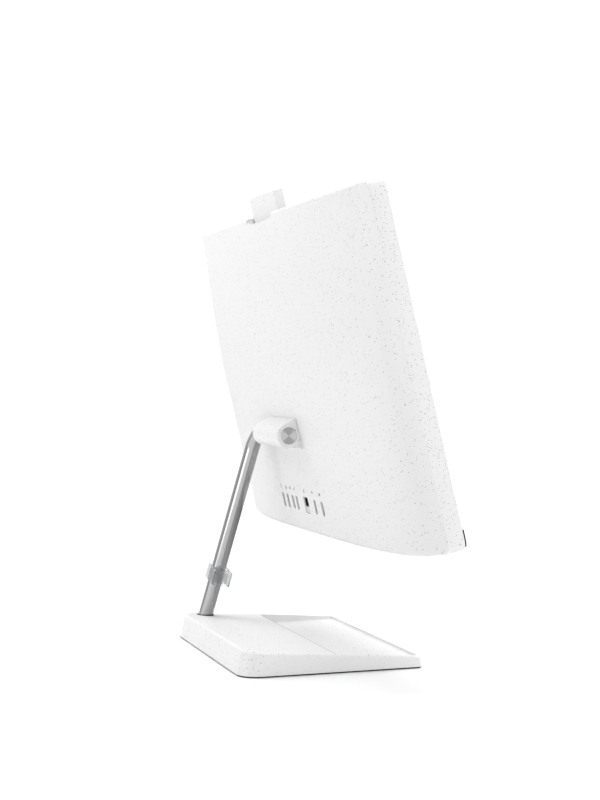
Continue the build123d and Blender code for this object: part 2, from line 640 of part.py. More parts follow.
def camera_rails():
    """Pair of channels that the camera slides in, standing on the chassis's top flange."""
    gap, wall, lip_w, front_lip, back_lip = 0.35, 2.0, 3.0, 1.1, 1.5
    v0, v1 = CHASSIS_TOP_V + 0.1, RECESS_FLOOR_V - 4.5
    front_t, back_t = CAM_FRONT_T - gap, CAM_BACK_T + gap
    rails = []
    for side in (-1, 1):
        inner, outer = CAM_HALF_W + gap, CAM_HALF_W + gap + wall
        xs = sorted([side * inner, side * outer])
        lips = sorted([side * (CAM_HALF_W - lip_w), side * outer])
        rail = box_between(*xs, front_t - front_lip, back_t + back_lip, v0, v1)
        rail += box_between(*lips, front_t - front_lip, front_t, v0, v1)
        rails.append(rail + box_between(*lips, back_t, back_t + back_lip, v0, v1))
    return group(rails)


# ---- Power button ---------------------------------------------------------------------------
def power_button():
    """Oblong cap through the bottom wall, with a flange inside that keeps it in."""
    half_w, half_d, top_gap = BUTTON_W / 2, BUTTON_D / 2, 0.3
    cap = box_between(BUTTON_X - half_w, BUTTON_X + half_w, BUTTON_T - half_d, BUTTON_T + half_d,
                      -HALF_H - BUTTON_PROUD, BUTTON_TOP_V)
    cap = fillet(cap.edges().filter_by(Axis.Z), half_d - 0.1)
    lip_w, lip_d = 1.5, 0.9
    return cap + box_between(BUTTON_X - half_w - lip_w, BUTTON_X + half_w + lip_w,
                             BUTTON_T - half_d - lip_d, BUTTON_T + half_d + lip_d,
                             -HALF_H + WALL + top_gap, BUTTON_TOP_V)


def button_board():
    half_w, half_d, thick, switch_h, switch_r = 13.0, 3.2, 1.2, 1.8, 1.6
    v = BUTTON_TOP_V + 2.8
    board = box_between(BUTTON_X - half_w, BUTTON_X + half_w, BUTTON_T - half_d, BUTTON_T + half_d,
                        v, v + thick)
    return board + rod_z(v - switch_h, v, BUTTON_X, BUTTON_T, switch_r)


# ---- Stand --------------------------------------------------------------------------------
def tube_direction():
    return (APEX - FOOT).normalized()


def along_tube(distance):
    """Frame on the tube's centre line, that far up from the base's top, Z along the tube."""
    axis = tube_direction()
    return Plane(origin=FOOT + axis * distance, x_dir=(1, 0, -axis.X / axis.Z), z_dir=axis)


def stand_tube():
    start = FOOT - tube_direction() * SUNK
    end = Vector(TUBE_END_X, AXIS_Y, AXIS_Z)
    path = FilletPolyline(start, APEX, end, radius=BEND_R)
    mouth = Plane(origin=start, z_dir=tube_direction())
    outer = sweep(mouth * Circle(TUBE_R), path=path)
    return outer - sweep(mouth * Circle(TUBE_BORE_R), path=path)


def axle_cap():
    """Turned metal cap that closes the tube's end and holds the hinge block on it."""
    edge, plug_length, plug_gap = 0.4, 9.0, 0.02
    disc = rod_x(BLOCK_X0 - CAP_GAP, TUBE_END_X, AXIS_Y, AXIS_Z, CAP_R)
    disc = chamfer(disc.edges().group_by(Axis.X)[0], edge)
    return disc + rod_x(TUBE_END_X, TUBE_END_X + plug_length, AXIS_Y, AXIS_Z, TUBE_BORE_R - plug_gap)


def tube_socket():
    """Cast socket bolted to the steel plate, bored at the tube's angle."""
    flange_r, column_r, column_up, column_h = 15.5, 9.8, -9.5, 26.0
    bore_up, bore_h, interference = -3.0, 24.0, 0.01
    flange = rod_z(SEAT_Z, SEAT_Z + FLANGE_H, FLANGE_X, FOOT.Y, flange_r)
    column = along_tube(column_up) * Cylinder(column_r, column_h)
    below_top = rod_z(SEAT_Z, FOOT.Z - 5.0, FOOT.X, FOOT.Y, 2 * flange_r)
    clear_of_wall = box_between(0, BASE_HALF_W, 0, BASE_HALF_D, SEAT_Z, FOOT.Z)
    bore = along_tube(bore_up) * Cylinder(TUBE_R + interference, bore_h)
    return ((flange + column) & below_top & clear_of_wall) - bore


def tube_grommet():
    wall, gap, height, sunk, thick, half = 1.3, 0.05, 12.0, 1.0, 3.0, 20.0
    ring = along_tube(0) * (Cylinder(TUBE_R + wall, height) - Cylinder(TUBE_R + gap, height + 2 * CLEAR))
    slope = math.degrees(math.atan2(REAR_TOP_Z - FRONT_TOP_Z, REAR_TOP_Y - FRONT_TOP_Y))
    level = Pos(FOOT.X, FOOT.Y, base_top_z(FOOT.Y) - sunk) * Rot(slope, 0, 0)
    return ring & (level * Box(2 * half, 2 * half, thick))


# ---- Base ---------------------------------------------------------------------------------
def base_top_z(y):
    share = (y - FRONT_TOP_Y) / (REAR_TOP_Y - FRONT_TOP_Y)
    return FRONT_TOP_Z + share * (REAR_TOP_Z - FRONT_TOP_Z)


def upright_edges(body):
    steep = 0.8
    return [e for e in body.edges() if abs(e.tangent_at(0.5).Z) > steep]


def wedge(inset, bottom_z, top_drop):
    """Solid wedge of the base's outside, inset from its walls and lowered from its top."""
    outline = [
        (BASE_HALF_D - inset, bottom_z),
        (REAR_TOP_Y - inset, REAR_TOP_Z - top_drop),
        (FRONT_TOP_Y + inset, base_top_z(FRONT_TOP_Y + inset) - top_drop),
        (-BASE_HALF_D + inset, bottom_z),
    ]
    half = BASE_HALF_W - inset
    line = Polyline([Vector(-half, y, z) for y, z in outline], close=True)
    body = extrude(Face(Wire(line.edges())), amount=2 * half, dir=(1, 0, 0))
    body = fillet([e for e in upright_edges(body) if e.center().Y > 0], REAR_CORNER_R - inset)
    front = -BASE_HALF_D / 2
    return fillet([e for e in upright_edges(body) if e.center().Y < front], FRONT_CORNER_R - inset)


def base_slice(y0, y1, z0, z1):
    """Full-width slab across the base, to keep or cut part of a wedge."""
    half = BASE_HALF_W + CLEAR
    return box_between(-half, half, y0, y1, z0, z1)


def base_shell():
    above = REAR_TOP_Z + CLEAR
    body = wedge(0, PAD_H, 0)
    body = fillet(body.faces().sort_by(Axis.Z)[-1].edges(), BASE_EDGE_R)
    tray = box_between(-TRAY_HALF_W, TRAY_HALF_W, TRAY_FRONT_Y, TRAY_REAR_Y, TRAY_FLOOR_Z, above)
    tray = fillet(tray.edges().filter_by(Axis.Z), TRAY_CORNER_R)
    tray = fillet(tray.faces().sort_by(Axis.Z)[0].edges(), TRAY_FLOOR_R)
    body -= tray
    inside = wedge(BASE_WALL, PAD_H, BASE_WALL)
    step_y, tray_skin = TRAY_REAR_Y + BASE_WALL, 2.0
    body -= inside & base_slice(step_y, BASE_HALF_D, 0, above)
    body -= inside & base_slice(-BASE_HALF_D, step_y, 0, TRAY_FLOOR_Z - tray_skin)
    boss_r, bore_r, roof, bore_roof = 4.0, 1.5, 1.0, 2.5
    for x, y in BOSSES:
        top_z = base_top_z(y) if y > 0 else TRAY_FLOOR_Z
        body += rod_z(SEAT_Z, top_z - roof, x, y, boss_r)
        body -= rod_z(PAD_H, top_z - bore_roof, x, y, bore_r)
    hole_gap, hole_h = 1.4, 20.0
    return body - along_tube(0) * Cylinder(TUBE_R + hole_gap, hole_h)


def base_plate():
    inset, hole_r = BASE_WALL + 0.2, 1.7
    plate = wedge(inset, PAD_H, 0) & base_slice(-BASE_HALF_D, BASE_HALF_D, PAD_H, SEAT_Z)
    return plate - [rod_z(PAD_H - CLEAR, SEAT_Z + CLEAR, x, y, hole_r) for x, y in BOSSES]


def base_weight():
    """Steel block behind the tray, cut away at the corners for the bosses and the tube's socket."""
    main_x, main_y, main_h = (-98.0, 62.0), (8.0, 74.0), 9.0
    band_x, band_y, band_h, corner_r = (-116.0, 85.0), (22.0, 52.0), 6.0, 2.0
    slab = box_between(*main_x, *main_y, SEAT_Z, SEAT_Z + main_h)
    slab += box_between(*band_x, *band_y, SEAT_Z, SEAT_Z + band_h)
    return fillet(slab.edges().filter_by(Axis.Z), corner_r)


def foot_pad():
    inset = 1.6
    return wedge(inset, 0, 0) & base_slice(-BASE_HALF_D, BASE_HALF_D, 0, PAD_H)


def base_screws():
    """Countersunk screws up through the steel plate, hidden by the pad."""
    short, long, radius, z0 = 4.2, 8.0, 1.45, PAD_H + 0.02
    return group([rod_z(z0, z0 + (short if y < 0 else long), x, y, radius) for x, y in BOSSES])


def socket_screws():
    ring_r, head_r, head_h, turns = 13.0, 2.2, 1.4, (122, 195, 268)
    z0 = SEAT_Z + FLANGE_H
    heads = []
    for turn in turns:
        angle = math.radians(turn)
        x, y = FLANGE_X + ring_r * math.cos(angle), FOOT.Y + ring_r * math.sin(angle)
        heads.append(rod_z(z0, z0 + head_h, x, y, head_r))
    return group(heads)


# ---- Cable clip -----------------------------------------------------------------------------
def cable_clip():
    """Clear rectangular band: the tube at its outer end, room for leads beside it."""
    grip = TUBE_R + CLIP_GAP
    x1 = grip + CLIP_WALL
    x0 = x1 - CLIP_W
    y1 = grip + CLIP_WALL
    y0 = y1 - CLIP_D
    half = CLIP_H / 2
    band = fillet(box_between(x0, x1, y0, y1, -half, half).edges().filter_by(Axis.Z), CLIP_CORNER_R)
    inside_y = (y0 + CLIP_WALL, y1 - CLIP_WALL)
    inside_z = (-half - CLEAR, half + CLEAR)
    band -= box_between(-grip, grip, *inside_y, *inside_z)
    band -= box_between(x0 + CLIP_WALL, -grip - CLIP_WALL, *inside_y, *inside_z)
    return along_tube(CLIP_UP) * band


DISPLAY_PARTS = [
    rear_cover, hinge_block, friction_sleeves, hinge_seal, hinge_bracket, hinge_screws,
    display_panel, panel_glass, front_bezel, speaker_bar, chassis,
    main_board, board_posts, board_screws, processor, heat_pipe, heat_sink, fan_housing, fan_impeller,
    memory_modules, storage_drive, wireless_card, speakers,
    usb_ports, hdmi_port, power_inlet, ethernet_port, ethernet_liner,
    camera_housing, camera_window, camera_lens, camera_rails, power_button, button_board,
]
STAND_PARTS = [
    stand_tube, axle_cap, tube_socket, tube_grommet, base_shell, base_plate, base_weight, foot_pad,
    base_screws, socket_screws, cable_clip,
]

for make in DISPLAY_PARTS:
    save(make.__name__, leaned(make()))
for make in STAND_PARTS:
    save(make.__name__, make())
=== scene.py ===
import json
import math

import bmesh
import bpy
import numpy as np
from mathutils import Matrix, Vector


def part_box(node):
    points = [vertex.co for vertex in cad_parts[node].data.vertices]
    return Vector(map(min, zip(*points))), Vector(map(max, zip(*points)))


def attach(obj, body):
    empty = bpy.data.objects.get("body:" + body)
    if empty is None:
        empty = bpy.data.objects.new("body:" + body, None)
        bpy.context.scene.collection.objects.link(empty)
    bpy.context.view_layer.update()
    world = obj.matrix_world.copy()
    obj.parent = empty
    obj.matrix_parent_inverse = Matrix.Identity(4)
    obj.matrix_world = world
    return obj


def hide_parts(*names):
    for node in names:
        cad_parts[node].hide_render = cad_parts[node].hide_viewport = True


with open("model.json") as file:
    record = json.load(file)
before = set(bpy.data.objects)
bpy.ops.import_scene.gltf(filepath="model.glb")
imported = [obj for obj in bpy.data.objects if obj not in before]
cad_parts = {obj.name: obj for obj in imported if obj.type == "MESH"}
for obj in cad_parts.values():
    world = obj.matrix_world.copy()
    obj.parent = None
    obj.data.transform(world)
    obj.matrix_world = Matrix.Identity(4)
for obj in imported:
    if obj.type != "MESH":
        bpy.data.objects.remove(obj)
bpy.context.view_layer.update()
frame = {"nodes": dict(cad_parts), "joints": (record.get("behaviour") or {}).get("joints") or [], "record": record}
MM = 0.001

# ---- Display frame: X across, T back from the front plane, V up from mid height ------------
JOINTS = {joint["name"]: joint for joint in frame["joints"]}
UP = Vector(JOINTS["camera_slide"]["axis"]).normalized()
BACK = Vector(JOINTS["fan_spin"]["axis"]).normalized()
HINGE = Vector(JOINTS["display_tilt"]["pos_m"])
HINGE_T = 61.0
HINGE_V = -54.0
ORIGIN = HINGE - BACK * HINGE_T * MM - UP * HINGE_V * MM


def at(x, t, v):
    """Point of the display frame, in millimetres, as a place in the scene."""
    return ORIGIN + Vector((x * MM, 0, 0)) + BACK * (t * MM) + UP * (v * MM)


# ---- Case shape, as the CAD cover has it --------------------------------------------------
HALF_W = 270.5
HALF_H = 160.5
SIDE_DEPTH = 16.0
BULGE = 34.4
RIM = [(0, 0.0), (8, 0.085), (14, 0.20), (19.5, 0.35), (27, 0.49), (57, 0.74), (110, 0.915), (190, 0.99)]
TOP_THINNING = 0.593
THINNING_POWER = 1.6
OUTLINE_R = 9.0
WALL = 2.4
LIP_R = 0.9
EDGE_R = 1.3                    # radius of the back's edges where there is no bulge
LOWER_ROUNDING = 6.5            # added to it at full bulge, below mid height
UPPER_ROUNDING = 3.5            # added to it at full bulge, from mid height up


def cubic_through(points):
    """Natural cubic spline through (x, y) points, as a function."""
    x, y = (np.array(c, float) for c in zip(*points))
    h = np.diff(x)
    n = len(x)
    system = np.eye(n)
    right = np.zeros(n)
    for i in range(1, n - 1):
        system[i, i - 1:i + 2] = h[i - 1], 2 * (h[i - 1] + h[i]), h[i]
        right[i] = 6 * ((y[i + 1] - y[i]) / h[i] - (y[i] - y[i - 1]) / h[i - 1])
    bend = np.linalg.solve(system, right)

    def value(q):
        i = np.clip(np.searchsorted(x, q) - 1, 0, n - 2)
        a, b = x[i + 1] - q, q - x[i]
        return ((bend[i] * a ** 3 + bend[i + 1] * b ** 3) / (6 * h[i])
                + (y[i] / h[i] - bend[i] * h[i] / 6) * a + (y[i + 1] / h[i] - bend[i + 1] * h[i] / 6) * b)

    return value


share_at = cubic_through(RIM + [(HALF_W, 1.0)] + [(2 * HALF_W - e, s) for e, s in reversed(RIM)])


def bulge_left(v):
    """Share of the bulge that is left at height v."""
    return 1 - TOP_THINNING * (np.clip(v, 0, HALF_H) / HALF_H) ** THINNING_POWER


def full_depth(x, v):
    edge = np.clip(HALF_W - np.abs(x), 0, HALF_W)
    return SIDE_DEPTH + BULGE * bulge_left(v) * share_at(edge)


def edge_distance(x, v, inset):
    """Distance in from the case's rounded outline, which is itself inset by that much."""
    r = OUTLINE_R - inset
    qx = np.abs(x) - (HALF_W - inset - r)
    qv = np.abs(v) - (HALF_H - inset - r)
    outside = np.hypot(np.maximum(qx, 0), np.maximum(qv, 0))
    return r - outside - np.minimum(np.maximum(qx, qv), 0)


def depth(x, v, inset=0.0):
    """Back surface of the case, with its long edges rounded."""
    full = full_depth(x, v)
    share = (full - SIDE_DEPTH) / BULGE
    radius = EDGE_R + np.where(v < 0, LOWER_ROUNDING, UPPER_ROUNDING) * share
    e = np.clip(edge_distance(x, v, inset), 0, radius)
    rounded = radius - np.sqrt(np.maximum(radius ** 2 - (radius - e) ** 2, 0))
    return full - rounded - inset


# ---- Mesh helpers -------------------------------------------------------------------------
def mesh_object(name, points, faces, sharp=32.0):
    """Mesh from points in metres, smooth except where faces meet at more than sharp degrees."""
    mesh = bpy.data.meshes.new(name)
    mesh.from_pydata([tuple(p) for p in points], [], faces)
    return finished(bpy.data.objects.new(name, mesh), sharp)


def finished(piece, sharp=32.0):
    """Piece linked to the scene, with welded points, outward faces and its edges set."""
    if piece.name not in bpy.context.scene.collection.objects:
        bpy.context.scene.collection.objects.link(piece)
    shape = bmesh.new()
    shape.from_mesh(piece.data)
    bmesh.ops.remove_doubles(shape, verts=shape.verts, dist=1e-6)
    bmesh.ops.recalc_face_normals(shape, faces=shape.faces)
    shape.to_mesh(piece.data)
    shape.free()
    piece.data.shade_smooth()
    piece.data.set_sharp_from_angle(angle=math.radians(sharp))
    return piece


def loops_to_faces(count, size, start=0, closed_ends=False):
    """Quads between successive closed loops of points, and caps on the first and last."""
    faces = []
    for k in range(count - 1):
        for i in range(size):
            j = (i + 1) % size
            a = start + k * size
            b = a + size
            faces.append((a + i, a + j, b + j, b + i))
    if closed_ends:
        faces.append(tuple(range(start + size - 1, start - 1, -1)))
        last = start + (count - 1) * size
        faces.append(tuple(range(last, last + size)))
    return faces


def rounded_outline(half_a, half_b, radius, steps=6):
    """Points of a rounded rectangle about 0, going round once."""
    points = []
    for turn in range(4):
        sa = (1, -1, -1, 1)[turn]
        sb = (1, 1, -1, -1)[turn]
        for k in range(steps + 1):
            angle = math.pi / 2 * (turn + k / steps)
            points.append((sa * (half_a - radius) + radius * math.cos(angle),
                           sb * (half_b - radius) + radius * math.sin(angle)))
    return points


def prism(outline, place, low, high):
    """Points and faces of a closed prism: place(a, b, c) puts outline (a, b) at level c."""
    size = len(outline)
    points = [place(a, b, c) for c in (low, high) for a, b in outline]
    return points, loops_to_faces(2, size, 0, closed_ends=True)


def joined(name, shapes, sharp=32.0):
    """One object from several (points, faces) shapes."""
    points, faces = [], []
    for more_points, more_faces in shapes:
        base = len(points)
        points += more_points
        faces += [tuple(base + i for i in face) for face in more_faces]
    return mesh_object(name, points, faces, sharp)


# ---- Materials ----------------------------------------------------------------------------
def new_material(name):
    material = bpy.data.materials.new(name)
    material.use_nodes = True
    nodes = material.node_tree.nodes
    return material, nodes, material.node_tree.links, nodes["Principled BSDF"]


def node(nodes, kind, **values):
    """Shader node with its settings, and with inputs given as in_Name=value."""
    made = nodes.new(kind)
    for key, value in values.items():
        if key.startswith("in_"):
            made.inputs[key[3:].replace("_", " ")].default_value = value
        else:
            setattr(made, key, value)
    return made


def object_space(nodes, links, scale):
    place = node(nodes, "ShaderNodeTexCoord")
    mapping = node(nodes, "ShaderNodeMapping", in_Scale=scale)
    links.new(place.outputs["Object"], mapping.inputs["Vector"])
    return mapping.outputs["Vector"]


def add_bump(nodes, links, shader, height, strength, distance):
    bump = node(nodes, "ShaderNodeBump", in_Strength=strength, in_Distance=distance)
    links.new(height, bump.inputs["Height"])
    links.new(bump.outputs["Normal"], shader.inputs["Normal"])


def ramp_between(nodes, links, value, low, high, in_low=0.3, in_high=0.7):
    """Value mapped from in_low..in_high to low..high."""
    change = node(nodes, "ShaderNodeMapRange", in_From_Min=in_low, in_From_Max=in_high,
                  in_To_Min=low, in_To_Max=high)
    links.new(value, change.inputs["Value"])
    return change.outputs["Result"]


def specks(nodes, links, vector, cell, radius, chance):
    """Mask of round specks: one in some cells of a 3-D cell pattern, of uneven size."""
    cells = node(nodes, "ShaderNodeTexVoronoi", in_Scale=1 / cell, in_Randomness=1.0)
    links.new(vector, cells.inputs["Vector"])
    split = node(nodes, "ShaderNodeSeparateColor")
    links.new(cells.outputs["Color"], split.inputs["Color"])
    size = node(nodes, "ShaderNodeMapRange", in_From_Min=1 - chance, in_From_Max=1.0,
                in_To_Min=0.0, in_To_Max=radius / cell)
    links.new(split.outputs["Red"], size.inputs["Value"])
    inside = node(nodes, "ShaderNodeMath", operation="LESS_THAN")
    links.new(cells.outputs["Distance"], inside.inputs[0])
    links.new(size.outputs["Result"], inside.inputs[1])
    return inside.outputs["Value"], split.outputs["Green"]


SPECK_LAYERS = [(0.0020, 0.00042, 0.88), (0.0043, 0.00055, 0.65)]   # cell, largest radius, chance
DARK_FLECK = (0.01, 0.01, 0.01, 1)
GREY_FLECK = (0.20, 0.20, 0.205, 1)


def speckled_plastic(name, colour):
    """Satin moulded plastic with sparse grey flecks."""
    material, nodes, links, shader = new_material(name)
    vector = object_space(nodes, links, (1, 1, 1))
    current = None
    for cell, radius, chance in SPECK_LAYERS:
        mask, variety = specks(nodes, links, vector, cell, radius, chance)
        mix = node(nodes, "ShaderNodeMix", data_type="RGBA")
        links.new(mask, mix.inputs["Factor"])
        if current is None:
            mix.inputs["A"].default_value = (*colour, 1)
        else:
            links.new(current, mix.inputs["A"])
        fleck = node(nodes, "ShaderNodeMix", data_type="RGBA")
        fleck.inputs["A"].default_value = DARK_FLECK
        fleck.inputs["B"].default_value = GREY_FLECK
        links.new(variety, fleck.inputs["Factor"])
        links.new(fleck.outputs["Result"], mix.inputs["B"])
        current = mix.outputs["Result"]
    links.new(current, shader.inputs["Base Color"])
    grain = node(nodes, "ShaderNodeTexNoise", in_Scale=900.0, in_Detail=3.0)
    links.new(vector, grain.inputs["Vector"])
    links.new(ramp_between(nodes, links, grain.outputs["Fac"], 0.38, 0.50), shader.inputs["Roughness"])
    add_bump(nodes, links, shader, grain.outputs["Fac"], 0.12, 0.00004)
    return material


def plain_plastic(name, colour, roughness, grain_scale=700.0, spread=0.06, strength=0.15, shade=0.1):
    """Moulded plastic or paint with fine grain in its roughness and bump."""
    material, nodes, links, shader = new_material(name)
    vector = object_space(nodes, links, (1, 1, 1))
    grain = node(nodes, "ShaderNodeTexNoise", in_Scale=grain_scale, in_Detail=4.0)
    links.new(vector, grain.inputs["Vector"])
    mix = node(nodes, "ShaderNodeMix", data_type="RGBA")
    mix.inputs["A"].default_value = (*[c * (1 - shade) for c in colour], 1)
    mix.inputs["B"].default_value = (*[min(c * (1 + shade), 1) for c in colour], 1)
    links.new(grain.outputs["Fac"], mix.inputs["Factor"])
    links.new(mix.outputs["Result"], shader.inputs["Base Color"])
    links.new(ramp_between(nodes, links, grain.outputs["Fac"], roughness - spread, roughness + spread),
              shader.inputs["Roughness"])
    add_bump(nodes, links, shader, grain.outputs["Fac"], strength, 0.00005)
    return material


DARK_GRAIN = 0.93               # shares of a metal's colour in its grain
LIGHT_GRAIN = 1.07


def metal(name, colour, roughness, stretch=(300, 300, 300), strength=0.1):
    """Metal with fine drawn or cast texture; stretch sets the grain's direction."""
    material, nodes, links, shader = new_material(name)
    shader.inputs["Metallic"].default_value = 1.0
    vector = object_space(nodes, links, stretch)
    grain = node(nodes, "ShaderNodeTexNoise", in_Scale=3.0, in_Detail=5.0)
    links.new(vector, grain.inputs["Vector"])
    mix = node(nodes, "ShaderNodeMix", data_type="RGBA")
    mix.inputs["A"].default_value = (*[c * DARK_GRAIN for c in colour], 1)
    mix.inputs["B"].default_value = (*[min(c * LIGHT_GRAIN, 1) for c in colour], 1)
    links.new(grain.outputs["Fac"], mix.inputs["Factor"])
    links.new(mix.outputs["Result"], shader.inputs["Base Color"])
    links.new(ramp_between(nodes, links, grain.outputs["Fac"], roughness * 0.8, roughness * 1.2),
              shader.inputs["Roughness"])
    add_bump(nodes, links, shader, grain.outputs["Fac"], strength, 0.00003)
    return material


RING_TURNS = 24000.0            # lathe rings, in radians per metre of radius
# Painted sheen on the cap: its colour runs from dark to light by angle about the hinge axis, in place of a
# reflection.
PAINTED_SHEEN_LOW = (0.25, 0.86)        # place along the sheen, share of the metal's colour
PAINTED_SHEEN_HIGH = (0.85, 1.35)


def turned_metal_painted_sheen(name, colour):
    """Metal turned on a lathe: fine rings about the hinge axis in its bump, and a painted sheen: base colour
    darker and lighter in a fan about the hinge axis, standing in for the reflection such rings give.
    """
    material, nodes, links, shader = new_material(name)
    shader.inputs["Metallic"].default_value = 1.0
    place = node(nodes, "ShaderNodeTexCoord")
    centred = node(nodes, "ShaderNodeVectorMath", operation="SUBTRACT")
    centred.inputs[1].default_value = HINGE
    links.new(place.outputs["Object"], centred.inputs[0])
    split = node(nodes, "ShaderNodeSeparateXYZ")
    links.new(centred.outputs["Vector"], split.inputs["Vector"])
    angle = node(nodes, "ShaderNodeMath", operation="ARCTAN2")
    links.new(split.outputs["Z"], angle.inputs[0])
    links.new(split.outputs["Y"], angle.inputs[1])
    double = node(nodes, "ShaderNodeMath", operation="MULTIPLY")
    double.inputs[1].default_value = 2.0
    links.new(angle.outputs["Value"], double.inputs[0])
    wave = node(nodes, "ShaderNodeMath", operation="COSINE")
    links.new(double.outputs["Value"], wave.inputs[0])
    # Painted sheen: lighter in two opposite sectors about the hinge axis, darker between them.
    painted_sheen = ramp_between(nodes, links, wave.outputs["Value"], 0.0, 1.0, -1.0, 1.0)
    ramp = node(nodes, "ShaderNodeValToRGB")
    ramp.color_ramp.interpolation = "EASE"
    low, high = ramp.color_ramp.elements
    low.position = PAINTED_SHEEN_LOW[0]
    low.color = (*[c * PAINTED_SHEEN_LOW[1] for c in colour], 1)
    high.position = PAINTED_SHEEN_HIGH[0]
    high.color = (*[min(c * PAINTED_SHEEN_HIGH[1], 1) for c in colour], 1)
    links.new(painted_sheen, ramp.inputs["Fac"])
    links.new(ramp.outputs["Color"], shader.inputs["Base Color"])
    radius = node(nodes, "ShaderNodeVectorMath", operation="LENGTH")
    links.new(centred.outputs["Vector"], radius.inputs[0])
    rings = node(nodes, "ShaderNodeMath", operation="MULTIPLY")
    rings.inputs[1].default_value = RING_TURNS
    links.new(radius.outputs["Value"], rings.inputs[0])
    ridge = node(nodes, "ShaderNodeMath", operation="SINE")
    links.new(rings.outputs["Value"], ridge.inputs[0])
    shader.inputs["Roughness"].default_value = 0.33
    add_bump(nodes, links, shader, ridge.outputs["Value"], 0.25, 0.00002)
    return material


CLEAR_DARK = (0.72, 0.725, 0.73, 1)
CLEAR_LIGHT = (0.79, 0.795, 0.80, 1)


def clear_plastic(name):
    """See-through plastic, slightly grey, with an uneven haze."""
    material, nodes, links, shader = new_material(name)
    vector = object_space(nodes, links, (1, 1, 1))
    haze = node(nodes, "ShaderNodeTexNoise", in_Scale=180.0, in_Detail=3.0)
    links.new(vector, haze.inputs["Vector"])
    links.new(ramp_between(nodes, links, haze.outputs["Fac"], 0.06, 0.12), shader.inputs["Roughness"])
    mix = node(nodes, "ShaderNodeMix", data_type="RGBA")
    mix.inputs["A"].default_value = CLEAR_DARK
    mix.inputs["B"].default_value = CLEAR_LIGHT
    links.new(haze.outputs["Fac"], mix.inputs["Factor"])
    links.new(mix.outputs["Result"], shader.inputs["Base Color"])
    shader.inputs["Transmission Weight"].default_value = 0.93
    shader.inputs["IOR"].default_value = 1.25
    add_bump(nodes, links, shader, haze.outputs["Fac"], 0.03, 0.00005)
    return material


SCREEN_DARK = (0.012, 0.013, 0.016, 1)
SCREEN_LIGHT = (0.018, 0.019, 0.024, 1)


def screen_glass(name):
    """Switched-off screen: dark and glossy, with a faint cloudy change of tone under its coat."""
    material, nodes, links, shader = new_material(name)
    vector = object_space(nodes, links, (1, 1, 1))
    cloud = node(nodes, "ShaderNodeTexNoise", in_Scale=60.0, in_Detail=2.0)
    links.new(vector, cloud.inputs["Vector"])
    mix = node(nodes, "ShaderNodeMix", data_type="RGBA")
    mix.inputs["A"].default_value = SCREEN_DARK
    mix.inputs["B"].default_value = SCREEN_LIGHT
    links.new(cloud.outputs["Fac"], mix.inputs["Factor"])
    links.new(mix.outputs["Result"], shader.inputs["Base Color"])
    links.new(ramp_between(nodes, links, cloud.outputs["Fac"], 0.10, 0.16), shader.inputs["Roughness"])
    shader.inputs["Coat Weight"].default_value = 0.4
    shader.inputs["Coat Roughness"].default_value = 0.05
    return material


FINISHES = {
    "case_white": speckled_plastic("speckled_white_plastic", (0.785, 0.785, 0.785)),
    "tube_metal": metal("satin_tube_metal", (0.40, 0.40, 0.405), 0.12, (900, 900, 30), 0.03),
    "cap_metal": turned_metal_painted_sheen("turned_cap_metal_painted_sheen", (0.46, 0.46, 0.465)),
    "steel": metal("plain_steel", (0.46, 0.46, 0.47), 0.38),
    "screw_steel": metal("zinc_steel", (0.35, 0.35, 0.36), 0.34),
    "socket_metal": metal("cast_alloy", (0.50, 0.50, 0.51), 0.45),
    "seal_white": plain_plastic("white_seal", (0.74, 0.74, 0.74), 0.5),
    "black_plastic": plain_plastic("black_moulding", (0.018, 0.018, 0.019), 0.42),
    "black_gloss": plain_plastic("black_gloss", (0.008, 0.008, 0.010), 0.12, spread=0.03),
    "panel_back": plain_plastic("panel_tray", (0.11, 0.11, 0.115), 0.5),
    "screen_glass": screen_glass("dark_screen_glass"),
    "board_green": plain_plastic("solder_mask", (0.02, 0.10, 0.05), 0.35),
    "chip": plain_plastic("chip_lid", (0.06, 0.06, 0.06), 0.3),
    "copper": metal("copper", (0.72, 0.38, 0.22), 0.3),
    "fin_metal": metal("fin_alloy", (0.62, 0.62, 0.63), 0.3),
    "port_metal": plain_plastic("socket_shell", (0.60, 0.60, 0.60), 0.35),
    "port_grey": plain_plastic("socket_grey", (0.62, 0.62, 0.62), 0.4),
    "rubber_black": plain_plastic("black_rubber", (0.016, 0.016, 0.016), 0.75, 1500.0, strength=0.3),
    "clip_clear": clear_plastic("clear_plastic"),
    "button_white": plain_plastic("button_plastic", (0.70, 0.70, 0.70), 0.4),
}


def finish_with(piece, slot, body, *replaced):
    """Gives a new piece the material for its slot and its body, and hides the CAD nodes it stands for."""
    piece.data.materials.clear()
    piece.data.materials.append(FINISHES[slot])
    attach(piece, body)
    if replaced:
        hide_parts(*replaced)


for part in frame["record"]["subparts"]:
    cad_piece = frame["nodes"][part["node"]]
    cad_piece.data.materials.clear()
    cad_piece.data.materials.append(FINISHES[part["material_slot"]])


# ---- Case -----------------------------------------------------------------------------------
RING = 12.0                     # band round the case's back, between the outline and the grid
RING_LEVELS = [0, 0.06, 0.25, 0.6, 1.1, 1.8, 2.8, 4.0, 5.5, 7.2, 9.4]
NEAR_COLUMNS = 24               # grid columns from each side: the near ones, then wider steps
NEAR_STEP = 1.0
MID_COLUMNS = 17
MID_STEP = 2.0
WIDE_COLUMNS = 44
ROWS = 65


def case_columns(inset):
    """Places across the case's back: close together where the sides rise, wider in the middle."""
    end = HALF_W - RING
    near = [end - k * NEAR_STEP for k in range(NEAR_COLUMNS)]
    mid = [near[-1] - MID_STEP * k for k in range(1, MID_COLUMNS + 1)]
    wide = np.linspace(mid[-1], 0, WIDE_COLUMNS + 1)[1:]
    right = near + mid + list(wide)
    xs = np.array([-x for x in right[:-1]] + list(reversed(right)))
    return xs * (end - inset) / end


